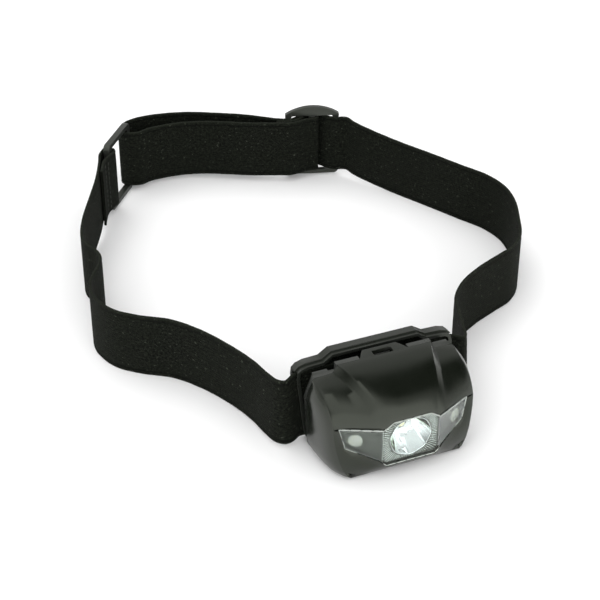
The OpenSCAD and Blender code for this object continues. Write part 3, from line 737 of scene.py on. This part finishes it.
def add_underside(bm, side_edge):
    """Flat underside from the chin to the hinge, with the button's opening."""
    outer = [(0.0, CHIN_Y), (10.0, CHIN_Y), (17.0, CHIN_Y - 0.05)]
    outer += [(x, y) for x, y, z in side_edge]
    outer += [(12.0, rear_y(SHELL_BASE)), (0.0, rear_y(SHELL_BASE))]
    whole = outer + [(-x, y) for x, y in reversed(outer[1:-1])]
    centre = Vector((0.0, BUTTON_Y))
    count = 180
    inner_ring, outer_ring = [], []
    for k in range(count):
        a = 2 * math.pi * k / count
        way = Vector((math.cos(a), math.sin(a)))
        best = None
        for p, q in zip(whole, whole[1:] + whole[:1]):
            p, q = Vector(p), Vector(q)
            edge = q - p
            cross = way.x * edge.y - way.y * edge.x
            if abs(cross) < 1e-9:
                continue
            off = p - centre
            t = (off.x * edge.y - off.y * edge.x) / cross
            u = (off.x * way.y - off.y * way.x) / cross
            if t > 0 and -1e-6 <= u <= 1 + 1e-6:
                best = t if best is None else max(best, t)
        far = centre + way * best
        # the button's slot has straight sides and round ends
        if abs(way.y) * SLOT_RUN > SLOT_R * abs(way.x):
            near = centre + Vector((way.x / abs(way.y) * SLOT_R, math.copysign(SLOT_R, way.y)))
        else:
            near = centre + Vector((math.copysign(SLOT_RUN, way.x), 0)) + way * SLOT_R
        inner_ring.append(bm.verts.new(lamp_point(near.x, near.y, SHELL_BASE)))
        outer_ring.append(bm.verts.new(lamp_point(far.x, far.y, SHELL_BASE)))
    for k in range(count):
        j = (k + 1) % count
        bm.faces.new((inner_ring[k], inner_ring[j], outer_ring[j], outer_ring[k]))


def add_prism(bm, outline, z0, z1, hole=None):
    """An upright plate with an outline in (x, y), and a hole with as many corners."""
    loops = [outline] if hole is None else [outline, hole]
    rings = []
    for loop in loops:
        rings.append([[bm.verts.new(lamp_point(x, y, z)) for x, y in loop] for z in (z0, z1)])
    count = len(outline)
    for low, high in rings:
        for i in range(count):
            j = (i + 1) % count
            bm.faces.new((low[i], low[j], high[j], high[i]))
    for level in (0, 1):
        if hole is None:
            bm.faces.new(rings[0][level])
            continue
        for i in range(count):
            j = (i + 1) % count
            bm.faces.new((rings[0][level][i], rings[0][level][j],
                          rings[1][level][j], rings[1][level][i]))


def add_knuckle(bm, x0, x1, y, z, radius, bore):
    """A hinge barrel along x with its bore."""
    count = 28
    rings = []
    for x, r in ((x0, bore), (x0, radius - 0.2), (x0 + 0.2, radius), (x1 - 0.2, radius),
                 (x1, radius - 0.2), (x1, bore)):
        rings.append([bm.verts.new(lamp_point(x, y + r * math.cos(2 * math.pi * k / count),
                                              z + r * math.sin(2 * math.pi * k / count)))
                      for k in range(count)])
    for near, far in zip(rings, rings[1:] + rings[:1]):
        for i in range(count):
            j = (i + 1) % count
            bm.faces.new((near[i], near[j], far[j], far[i]))


def make_shell():
    """The outer skin, mirrored, with a crisp side crease and a wall behind it."""
    bm = bmesh.new()
    grids = shell_grids()
    for grid in grids:
        add_strip_grid(bm, grid)
        add_strip_grid(bm, [[(-x, y, z) for x, y, z in row] for row in grid])
    add_underside(bm, grids[1][-1])
    bmesh.ops.remove_doubles(bm, verts=bm.verts, dist=0.02 * MM)
    crease = {key(p) for p in side_crease()}
    crease |= {key((-x, y, z)) for x, y, z in side_crease()}
    for edge in bm.edges:
        if all(key_of(v) in crease for v in edge.verts):
            edge.smooth = False
    bmesh.ops.recalc_face_normals(bm, faces=bm.faces)
    # the crown has to face up, and the underside down, so that both walls grow inwards
    crown = [f for f in bm.faces if f.calc_center_median().z > 20 * MM]
    if sum(f.normal.z * f.calc_area() for f in crown) < 0:
        bmesh.ops.reverse_faces(bm, faces=bm.faces)
    low = (SHELL_BASE + 0.1) * MM
    upturned = [f for f in bm.faces if f.calc_center_median().z < low and f.normal.z > 0.9]
    bmesh.ops.reverse_faces(bm, faces=upturned)
    shell = piece("front_shell_case", bm, "case", "lamp", 30.0)
    skin = shell.modifiers.new("wall", "SOLIDIFY")
    skin.thickness = WALL * MM
    skin.offset = -1.0
    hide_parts("front_shell")


def make_latch():
    """The loop that snaps over the rear cover's lug."""
    bm = bmesh.new()
    loop = [(-8.9, -0.4), (-6.9, 3.2), (-6.0, 4.4), (6.0, 4.4), (6.9, 3.2), (8.9, -0.4),
            (3.4, -0.4), (-3.4, -0.4)]
    window = [(-3.4, 0.1), (-3.4, 1.6), (-3.4, 2.9), (3.4, 2.9), (3.4, 1.6), (3.4, 0.1),
              (1.2, 0.1), (-1.2, 0.1)]
    add_prism(bm, loop, CROWN_Z - WALL, CROWN_Z, window)
    bmesh.ops.recalc_face_normals(bm, faces=bm.faces)
    latch = piece("front_shell_latch", bm, "satin", "lamp", 30.0)
    rounding = latch.modifiers.new("rounding", "BEVEL")
    rounding.width = 0.22 * MM
    rounding.segments = 3


def make_knuckles():
    """The shell's two hinge barrels and the leaves that join them to the underside."""
    bm = bmesh.new()
    for side in (-1, 1):
        x0, x1 = sorted((side * KNUCKLE_IN, side * KNUCKLE_OUT))
        add_knuckle(bm, x0, x1, HINGE_Y, HINGE_Z, KNUCKLE_R, BORE_R)
        leaf = [(x0, LEAF_Y[0]), (x1, LEAF_Y[0]), (x1, LEAF_Y[1]), (x0, LEAF_Y[1])]
        add_prism(bm, leaf, *LEAF_Z)
    bmesh.ops.recalc_face_normals(bm, faces=bm.faces)
    piece("front_shell_knuckles", bm, "satin", "lamp", 30.0)


make_shell()
make_latch()
make_knuckles()


# ================= lens, bezel and reflector =================
CUP_R = 7.05
CUP_DEPTH = 7.4
CUP_FRONT = -20.45
CUP_NECK = 2.1
RIM_R = 7.4
CUP_STEPS = 24
CUP_SIDES = 120
FLUTE_COUNT = 80
FLUTE_R = 0.19
# how far the flutes may reach from the reflector's middle: in all, sideways, up and down
FLUTE_REACH = 12.0
FLUTE_SIDE = 9.6
FLUTE_UP = 7.2
FLUTE_DOWN = 8.4
SIDE_LED_X = 17.5
SIDE_LED_Z = 14.8
DIFFUSER_INSET = 1.75
LENS_TOP = [(-22.9, 19.6), (-10.0, 19.9), (-6.7, 22.2), (6.7, 22.2), (10.0, 19.9), (22.9, 19.6)]
LENS_END = [(22.9, 19.6), (22.0, 15.6), (21.0, 12.0)]
LENS_LOW = [(21.0, 12.0), (10.0, 6.6), (8.7, 5.4), (-8.7, 5.4), (-10.0, 6.6), (-21.0, 12.0)]


def make_reflector():
    """A faceted bright dish with a thin rolled rim standing on the bezel."""
    bm = bmesh.new()
    profile = []
    for k in range(CUP_STEPS + 1):
        t = k / CUP_STEPS
        profile.append((CUP_NECK + (CUP_R - CUP_NECK) * math.sqrt(t), -CUP_DEPTH * (1 - t)))
    profile += [(CUP_R + 0.05, 0.22), (CUP_R + 0.18, 0.3), (RIM_R - 0.06, 0.26), (RIM_R, 0.12),
                (CUP_R + 0.1, 0.05)]
    for k in range(CUP_STEPS, -1, -4):
        t = k / CUP_STEPS
        profile.append((CUP_NECK + 0.45 + (CUP_R - 0.4 - CUP_NECK) * math.sqrt(t),
                        -CUP_DEPTH * (1 - t) - 0.3 * t))
    rings = []
    for radius, out in profile:
        ring = []
        for i in range(CUP_SIDES):
            turn = 2 * math.pi * i / CUP_SIDES
            swirl = 1 + 0.012 * math.sin(8 * turn + radius * 1.1)
            spot = (radius * swirl * math.cos(turn), CUP_FRONT - out,
                    OPTIC_Z + radius * swirl * math.sin(turn))
            ring.append(bm.verts.new(lamp_point(*spot)))
        rings.append(ring)
    for near, far in zip(rings, rings[1:] + rings[:1]):
        for i in range(CUP_SIDES):
            j = (i + 1) % CUP_SIDES
            bm.faces.new((near[i], near[j], far[j], far[i]))
    bmesh.ops.recalc_face_normals(bm, faces=bm.faces)
    cup = piece("reflector_dish", bm, "chrome", "lamp", 40.0)
    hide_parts("reflector_cup")


def make_flutes():
    """Fine rays moulded into the bezel round the reflector, inside the middle facet."""
    bm = bmesh.new()
    for k in range(FLUTE_COUNT):
        turn = 2 * math.pi * k / FLUTE_COUNT
        way = Vector((math.cos(turn), math.sin(turn)))
        limits = [FLUTE_REACH]
        if abs(way.x) > 0.01:
            limits.append(FLUTE_SIDE / abs(way.x))
        if way.y > 0.01:
            limits.append(FLUTE_UP / way.y)
        if way.y < -0.01:
            limits.append(FLUTE_DOWN / -way.y)
        end = min(limits)
        if end < RIM_R + 0.6:
            continue
        y = CUP_FRONT - 0.1
        start = lamp_point(way.x * (RIM_R + 0.15), y, OPTIC_Z + way.y * (RIM_R + 0.15)) / MM
        stop = lamp_point(way.x * end, y, OPTIC_Z + way.y * end) / MM
        add_capsule(bm, start, stop, FLUTE_R)
    piece("bezel_flutes", bm, "flute", "lamp", 60.0)


def make_lens_edge_highlights():
    """Pale rods along the lens rim where it meets the shell: a painted highlight on its polished
    edge.
    """
    bm = bmesh.new()
    mirrored_end = [(-x, z) for x, z in LENS_END]
    for line, radius in ((LENS_TOP, 0.3), (LENS_END, 0.24), (mirrored_end, 0.24), (LENS_LOW, 0.2)):
        for (x0, z0), (x1, z1) in zip(line, line[1:]):
            steps = max(1, int(abs(x1 - x0) / 3))
            for k in range(steps):
                ends = []
                for f in (k / steps, (k + 1) / steps):
                    x = x0 + (x1 - x0) * f
                    spot = lamp_point(x, wing_y(x, -0.22), z0 + (z1 - z0) * f)
                    ends.append(spot / MM)
                add_capsule(bm, ends[0], ends[1], radius)
    piece("lens_edge_highlights", bm, "edge", "lamp", 60.0)


def make_led_diffusers():
    """The round diffuser in front of each small side LED, square to its wing, with a painted glow
    that stands in for its bright highlight.
    """
    bm = bmesh.new()
    sides = 40
    for side in (-1, 1):
        turn = math.radians(SWEEP) * side
        across = Vector((math.cos(turn), math.sin(turn), 0))
        out = Vector((math.sin(turn), -math.cos(turn), 0))
        middle = Vector((SIDE_LED_X * side, wing_y(SIDE_LED_X) + DIFFUSER_INSET, SIDE_LED_Z))
        rings = []
        for radius, lift in ((0.02, 0.3), (0.8, 0.27), (1.5, 0.16), (2.0, 0.06), (2.35, 0.0)):
            ring = []
            for k in range(sides):
                a = 2 * math.pi * k / sides
                spot = middle + across * radius * math.cos(a) + out * lift
                spot.z += radius * math.sin(a)
                ring.append(bm.verts.new(lamp_point(*spot)))
            rings.append(ring)
        for near, far in zip(rings, rings[1:]):
            for k in range(sides):
                j = (k + 1) % sides
                bm.faces.new((near[k], near[j], far[j], far[k]))
    bmesh.ops.recalc_face_normals(bm, faces=bm.faces)
    # the diffusers wear the glowing material: a painted glow for the bright spots behind the lens
    # wings
    diffusers = piece("led_diffusers", bm, "resin_painted_glow", "lamp", 60.0)
    skin = diffusers.modifiers.new("wall", "SOLIDIFY")
    skin.thickness = 0.15 * MM


make_reflector()
make_led_diffusers()
make_flutes()
make_lens_edge_highlights()


# ================= stage, light and camera =================
def make_floor():
    """A plain pale sheet that the render shows and the part leaves out."""
    bm = bmesh.new()
    bmesh.ops.create_grid(bm, x_segments=8, y_segments=8, size=3.0)
    mesh = bpy.data.meshes.new("floor")
    bm.to_mesh(mesh)
    bm.free()
    floor = bpy.data.objects.new("floor", mesh)
    bpy.context.scene.collection.objects.link(floor)
    mat, tree, bsdf = shader("floor_paper", (0.93, 0.93, 0.93), 0.6)
    tree.links.new(spread(tree, noise(tree, 40.0), 0.55, 0.65), bsdf.inputs["Roughness"])
    bsdf.inputs["Specular IOR Level"].default_value = 0.15
    floor.data.materials.append(mat)


def softbox(name, place, target, size, watts):
    """An area light that lights the object but is not mirrored in it."""
    data = bpy.data.lights.new(name, "AREA")
    data.shape = "RECTANGLE"
    data.size, data.size_y = size
    data.energy = watts
    lamp = bpy.data.objects.new(name, data)
    lamp.location = place
    way = Vector(target) - Vector(place)
    lamp.rotation_euler = way.to_track_quat("-Z", "Y").to_euler()
    lamp.visible_glossy = False
    bpy.context.scene.collection.objects.link(lamp)


def ramp(tree, value, stops):
    """A smooth grey curve through (position, brightness) stops."""
    made = tree.nodes.new("ShaderNodeValToRGB")
    line = made.color_ramp
    line.interpolation = "EASE"
    while len(line.elements) < len(stops):
        line.elements.new(0.5)
    for element, (place, level) in zip(line.elements, stops):
        element.position = place
        element.color = (level, level, level, 1)
    tree.links.new(value, made.inputs[0])
    return made.outputs["Color"]


def make_room():
    """The studio around the object: bright in front, grey behind, a dark strip of
    ceiling between them, and light from the left."""
    world = bpy.data.worlds.new("studio")
    world.use_nodes = True
    tree = world.node_tree
    split = tree.nodes.new("ShaderNodeSeparateXYZ")
    coords = tree.nodes.new("ShaderNodeTexCoord")
    tree.links.new(coords.outputs["Generated"], split.inputs[0])
    depth = spread(tree, split.outputs["Y"], 0.0, 1.0, -1.0, 1.0)
    side = spread(tree, split.outputs["X"], 0.0, 1.0, -1.0, 1.0)
    front_to_back = ramp(tree, depth, ((0.0, 1.0), (0.14, 0.95), (0.27, 0.3), (0.38, 0.0),
                                       (0.62, 0.0), (0.76, 0.32), (1.0, 0.36)))
    from_left = ramp(tree, side, ((0.0, 0.45), (0.3, 0.7), (0.46, 0.75), (0.6, 0.0), (1.0, 0.0)))
    height = spread(tree, split.outputs["Z"], 0.0, 1.0, 0.0, 1.0)
    low_wall = ramp(tree, height, ((0.0, 0.47), (0.2, 0.45), (0.42, 0.0), (1.0, 0.0)))
    high = ramp(tree, height, ((0.0, 0.0), (0.35, 0.0), (0.75, 1.0), (1.0, 1.0)))

    overhead = math_value(tree, "MULTIPLY", from_left, high)
    walls = math_value(tree, "MAXIMUM", front_to_back, overhead)
    level = math_value(tree, "MAXIMUM", walls, low_wall)
    tree.links.new(level, tree.nodes["Background"].inputs[0])
    tree.nodes["Background"].inputs[1].default_value = ROOM_LEVEL
    bpy.context.scene.world = world


make_floor()
softbox("softbox_top", (0.1, 0.25, 1.0), (0, 0, 0), (1.1, 0.9), 3.4)
softbox("softbox_left", (-0.9, -0.35, 0.55), (0, -0.05, 0.01), (0.7, 0.6), 2.4)
softbox("softbox_right", (0.9, -0.3, 0.5), (0, -0.05, 0.01), (0.5, 0.6), 2.4)
make_room()

CAMERA_PLACE = Vector((-199.4, -467.1, 338.3)) * MM
CAMERA_TARGET = Vector((-5.8, -4.4, 0.0)) * MM
camera_data = bpy.data.cameras.new("camera")
camera_data.lens = 96.0
camera_data.sensor_width = 36.0
camera = bpy.data.objects.new("camera", camera_data)
camera.location = CAMERA_PLACE
camera.rotation_euler = (CAMERA_TARGET - CAMERA_PLACE).to_track_quat("-Z", "Y").to_euler()
bpy.context.scene.collection.objects.link(camera)
bpy.context.scene.camera = camera
bpy.context.scene.view_settings.view_transform = "Standard"
